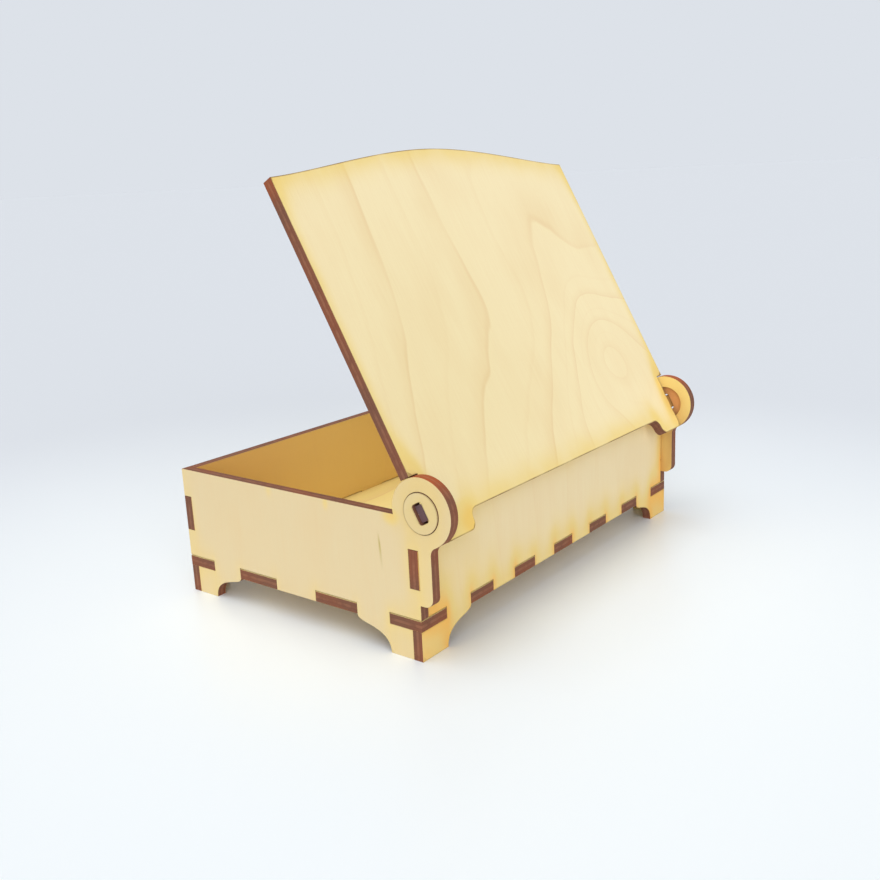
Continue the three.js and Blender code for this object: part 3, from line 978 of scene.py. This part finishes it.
@dataclass
class WallsAndFloor:
    """The still part of the box: floor, long walls, and end walls with the ears of the hinge."""

    BODY = "box"
    WALL_SLOT = "wall_plywood"

    hinge: Vector  # a point of its axis, in metres
    mineral_streaks: tuple[Streak, ...] = (
        Streak(across=-13.75, start=22.0, end=33.0, slant=-0.07, width=0.6),
        Streak(across=-13.85, start=26.5, end=32.0, slant=-0.1),
    )
    # Redder top of each ear's rim: partly a redder scorch, partly a painted highlight where the rim faces
    # the light from above
    ear_ember_and_highlight: Spot = Spot(across=0.0, along=48.6, reach=11.0, strength=1.3)
    rim_scorches: tuple[Spot, ...] = (
        Spot(across=-9.8, along=37.0, reach=4.2, strength=1.0, stretch=0.75),
        Spot(across=-31.8, along=37.0, reach=1.8, strength=0.9, stretch=2.0),
        Spot(across=-53.1, along=37.0, reach=2.0, strength=0.6, stretch=2.0),
    )
    # Painted shade on the inner face of the front wall, towards its near end
    painted_shade_wall_end: Spot = Spot(across=67.0, along=34.0, reach=72.0, strength=1.0)
    warm_wall_end: Spot = Spot(across=64.0, along=27.0, reach=46.0, strength=0.65, stretch=0.5)
    # Painted shade on the inner face of the left end wall's neck, under the lid's lug
    painted_shade_neck: Spot = Spot(across=6.0, along=24.0, reach=11.0, strength=1.0, stretch=1.8)
    # A slightly darker tone on the outer face about each ear
    dusky_ear: Spot = Spot(across=0.0, along=40.0, reach=16.0, strength=0.14)

    def build(self) -> None:
        """Builds the five sheets."""
        for sheet in (self._floor(), *self._long_walls(), *self._end_walls()):
            sheet.build()

    def _floor(self) -> Sheet:
        """Describes the floor.

        Returns:
            The sheet.
        """
        node = "floor_panel"
        return Sheet(
            "floor",
            node,
            self.BODY,
            "floor_plywood",
            Lie.FLAT,
            VeneerFinish(
                "floor_veneer",
                14.0,
                pale=srgb(255, 238, 164),
                inner_pale=srgb(250, 214, 166),
                outer_heat=0.5,
            ),
            ScorchedEdgeFinish("floor_edge", 1.0),
            origin=middle_of(node),
        )

    def _long_walls(self) -> Iterable[Sheet]:
        """Describes the front and back walls.

        Returns:
            The two sheets.
        """
        for side, outward, log_slice, warmed, darker_patches_and_painted_shade in (
            ("front", -1.0, 2.0, (), (self.painted_shade_wall_end,)),
            ("back", 1.0, 5.0, (self.warm_wall_end,), ()),
        ):
            name, node = f"{side}_wall", f"{side}_panel"
            veneer = VeneerFinish(
                f"{name}_veneer",
                log_slice,
                pale=srgb(241, 221, 177),
                # Deeper golden inner face: partly painted shade of the inside of the box
                inner_pale=srgb(241, 208, 134),
                dusk=srgb(212, 170, 100),
                figure_depth=0.15,
                outer_heat=1.1,
                inner_heat=0.35,
                scorches=warmed,
                # Painted shade on the inner face, towards the front wall's near end
                inner_painted_shade=darker_patches_and_painted_shade,
            )
            middle = middle_of(node)
            yield Sheet(
                name,
                node,
                self.BODY,
                self.WALL_SLOT,
                Lie.LENGTHWISE,
                veneer,
                ScorchedEdgeFinish(f"{name}_edge", log_slice),
                outward=outward,
                origin=Vector((middle.x, middle.y, 0)),
            )

    def _end_walls(self) -> Iterable[Sheet]:
        """Describes the end walls with the ears of the hinge.

        Returns:
            The two sheets.
        """
        for side, outward, log_slice, streaks, scorches, darker_patches_and_painted_shade in (
            ("right", 1.0, 8.0, self.mineral_streaks, self.rim_scorches, ()),
            ("left", -1.0, 11.0, (), (), (self.painted_shade_neck,)),
        ):
            name, node = f"{side}_end_wall", f"{side}_end_panel"
            veneer = VeneerFinish(
                f"{name}_veneer",
                log_slice,
                dusk=srgb(196, 152, 92),
                figure_depth=0.08,
                char=0.15,
                outer_heat=0.36,
                inner_heat=0.8,
                streaks=streaks,
                scorches=scorches,
                # A darker tone about the ear outside, and painted shade on the left wall's neck inside
                darker_patches_and_painted_shade=(self.dusky_ear,),
                inner_painted_shade=darker_patches_and_painted_shade,
            )
            yield Sheet(
                name,
                node,
                self.BODY,
                self.WALL_SLOT,
                Lie.CROSSWISE,
                veneer,
                ScorchedEdgeFinish(f"{name}_edge", log_slice, (self.ear_ember_and_highlight,)),
                outward=outward,
                origin=Vector((middle_of(node).x, self.hinge.y, 0)),
                char_stretch=1.0,
            )


@dataclass
class LidOnDiscs:
    """The part of the box that turns: the lid, and the two discs that hold its tabs."""

    BODY = "lid"

    hinge: Vector  # a point of its axis, in metres
    opened: float  # radians by which the lid stands open
    embers: tuple[Spot, ...] = (
        Spot(across=67.5, along=89.0, reach=9.0, strength=0.6),
        Spot(across=67.5, along=52.0, reach=20.0, strength=0.3),
    )
    lug_scorch: Spot = Spot(across=54.5, along=-6.2, reach=7.0, strength=1.8)
    # Painted shade: the lid's outer face grows darker towards its near, low corner
    painted_shade_corner: Spot = Spot(across=50.0, along=9.0, reach=110.0, strength=0.27)
    faint_eye: Spot = Spot(across=-46.0, along=18.0, reach=34.0, strength=0.65)

    def build(self) -> None:
        """Builds the lid and the discs."""
        for sheet in (self._cover(), *self._discs()):
            sheet.build()

    def _cover(self) -> Sheet:
        """Describes the lid.

        Returns:
            The sheet.
        """
        veneer = VeneerFinish(
            "lid_veneer",
            17.0,
            pale=srgb(251, 234, 189),
            inner_pale=srgb(246, 224, 172),
            warm=srgb(243, 213, 124),
            dusk=srgb(216, 194, 126),
            toasted=srgb(243, 198, 92),
            outer_heat=1.15,
            burns=True,
            most_heat=1.6,
            # A strong charred line, which along the lid's lower edge is also painted shade of the gap by
            # the back wall
            char=0.9,
            scorches=(self.lug_scorch,),
            darker_patches_and_painted_shade=(self.painted_shade_corner,),
            calm=(self.faint_eye,),
        )
        return Sheet(
            "lid",
            "lid_panel",
            self.BODY,
            "lid_plywood",
            Lie.COVERING,
            veneer,
            ScorchedEdgeFinish("lid_edge", 17.0, self.embers, tarred=True),
            opened=self.opened,
            origin=self.hinge,
            figure=LID_FIGURE,
        )

    def _discs(self) -> Iterable[Sheet]:
        """Describes the two discs that the lid turns in.

        Returns:
            The two sheets.
        """
        for side, outward, log_slice in (("right", 1.0, 20.0), ("left", -1.0, 23.0)):
            name, node = f"{side}_disc", f"{side}_hinge_disc"
            yield Sheet(
                name,
                node,
                self.BODY,
                "disc_plywood",
                Lie.CROSSWISE,
                VeneerFinish(
                    f"{name}_veneer",
                    log_slice,
                    pale=srgb(225, 205, 160),
                    # A deeper, more orange inner face: partly smoke from the laser, partly painted shade
                    # where the disc sits back in the ear
                    inner_pale=srgb(224, 172, 112),
                    warm=srgb(227, 201, 136),
                    toasted=srgb(230, 184, 104),
                    inner_toasted=srgb(212, 140, 82),
                    # Darker, olive ring at the rim: charred wood, and also painted shade of the gap around
                    # the disc
                    charred=srgb(104, 78, 34),
                    char=0.5,
                    outer_heat=0.35,
                    inner_heat=1.5,
                ),
                ScorchedEdgeFinish(f"{name}_edge", log_slice),
                opened=self.opened,
                outward=outward,
                origin=Vector((middle_of(node).x, self.hinge.y, self.hinge.z)),
                figure=StraightFigure(shift=8.0),
                grid=0.75,
            )


@dataclass(frozen=True)
class SoftLamp:
    """A broad lamp far away."""

    name: str
    towards: tuple[float, float, float]  # the way from the box to the lamp
    light: float  # on a surface that faces it, as a share of what makes white
    width: float  # radians that it spans

    def light_on(self, normal: Vector) -> float:
        """Works out its light on a surface, as a share of what makes white."""
        return self.light * max(0.0, Vector(self.towards).normalized().dot(normal))

    def build(self) -> None:
        """Hangs the lamp."""
        lamp = bpy.data.lights.new(self.name, "SUN")
        lamp.energy = self.light * math.pi
        lamp.angle = self.width
        holder = bpy.data.objects.new(self.name, lamp)
        holder.rotation_mode = "QUATERNION"
        holder.rotation_quaternion = Vector(self.towards).to_track_quat("Z", "Y")
        bpy.context.scene.collection.objects.link(holder)


@dataclass(frozen=True)
class Studio:
    """The pale table, the even light around it, and the soft lamps."""

    table_radius: float = 30.0  # metres
    table_sides: int = 96
    table_roughness: float = 0.9
    near_centre: Vector = field(default_factory=lambda: Vector((0.06, 0.03, 0)))  # metres
    near_reach: float = 0.08  # metres from that centre to where the near look ends
    far_reach: float = 0.33  # and to where the far look begins
    near_look: Colour = srgb(245, 251, 255)
    far_look: Colour = srgb(221, 226, 233)
    sky_light: float = 0.33  # as a share of what makes white
    lamps: tuple[SoftLamp, ...] = (
        SoftLamp("overhead_softbox", (0.2, -0.16, 1.0), 0.52, math.radians(60)),
        SoftLamp("camera_side_softbox", (0.7, 0.75, 0.36), 0.52, math.radians(60)),
    )

    def build(self) -> None:
        """Builds the table, the light and the lamps."""
        self._table()
        self._sky()
        for lamp in self.lamps:
            lamp.build()

    def _table(self) -> None:
        """Builds the table, whose look falls off towards that of the backdrop."""
        bm = bmesh.new()
        bmesh.ops.create_circle(bm, cap_ends=True, segments=self.table_sides, radius=self.table_radius)
        mesh = bpy.data.meshes.new("table")
        bm.to_mesh(mesh)
        bm.free()
        table = bpy.data.objects.new("table", mesh)
        bpy.context.scene.collection.objects.link(table)
        light = self.sky_light + sum(lamp.light_on(Vector((0, 0, 1))) for lamp in self.lamps)
        near, far = (
            tuple(share / light for share in look[:3]) + (1.0,)
            for look in (self.near_look, self.far_look)
        )
        mesh.materials.append(bpy.data.materials.new("table_top"))
        bench = Bench(mesh.materials[0])
        place = bench.node("ShaderNodeTexCoord").outputs["Object"]
        sockets = {0: place, 1: self.near_centre}
        distance = bench.node("ShaderNodeVectorMath", {"operation": "DISTANCE"}, sockets).outputs["Value"]
        fade = Channel(bench, distance).rise(self.near_reach, self.far_reach)
        bench.surface(bench.blend(fade, near, far), self.table_roughness, 0.0, sheen=1 - fade)

    def _sky(self) -> None:
        """Sets the even light, and the backdrop that the camera sees in its place."""
        world = bpy.data.worlds.new("studio")
        bpy.context.scene.world = world
        bench = Bench(world)
        rays = bench.node("ShaderNodeLightPath").outputs
        light = bench.node("ShaderNodeBackground", None, {"Color": WHITE, "Strength": self.sky_light})
        backdrop = bench.node("ShaderNodeBackground", None, {"Color": self.far_look, "Strength": 1.0})
        seen = Channel(bench, rays["Is Camera Ray"])
        for ray in ("Is Glossy Ray", "Is Transmission Ray"):
            seen = seen.at_least(Channel(bench, rays[ray]))
        sockets = {0: seen, 1: light.outputs[0], 2: backdrop.outputs[0]}
        choice = bench.node("ShaderNodeMixShader", None, sockets)
        bench.node("ShaderNodeOutputWorld", None, {"Surface": choice.outputs[0]})


@dataclass(frozen=True)
class ViewPoint:
    """The camera of the photograph: where it stood, what it looked at and how far it leaned."""

    place: Vector = field(default_factory=lambda: Vector((0.24437, 0.18693, 0.11760)))
    aim: Vector = field(default_factory=lambda: Vector((0.00401, -0.00333, 0.03709)))
    lean: float = math.radians(-2.708)
    focal_length: float = 41.504  # mm
    sensor_width: float = 36.0  # mm
    nearest: float = 0.01  # metres
    furthest: float = 60.0  # metres

    def build(self) -> None:
        """Makes the camera and gives it to the scene."""
        lens = bpy.data.cameras.new("photograph_view")
        lens.sensor_fit = "HORIZONTAL"
        lens.sensor_width = self.sensor_width
        lens.lens = self.focal_length
        lens.clip_start = self.nearest
        lens.clip_end = self.furthest
        camera = bpy.data.objects.new("photograph_view", lens)
        camera.rotation_mode = "QUATERNION"
        level = (self.aim - self.place).to_track_quat("-Z", "Y")
        camera.rotation_quaternion = level @ Quaternion((0, 0, 1), self.lean)
        camera.location = self.place
        bpy.context.scene.collection.objects.link(camera)
        bpy.context.scene.camera = camera


def main() -> None:
    """Builds the box with its lid, the studio and the camera."""
    logging.basicConfig(level=logging.INFO, format="%(name)s: %(message)s")
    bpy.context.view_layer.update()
    joint = frame["joints"][0]
    hinge = Vector(joint["pos_m"])
    opened = math.radians(-joint["range_deg"][0])  # the joint's lower limit is the closed lid
    WallsAndFloor(hinge).build()
    LidOnDiscs(hinge, opened).build()
    Studio().build()
    ViewPoint().build()
    bpy.context.scene.view_settings.view_transform = "Standard"
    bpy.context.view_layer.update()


if __name__ == "__main__":
    main()
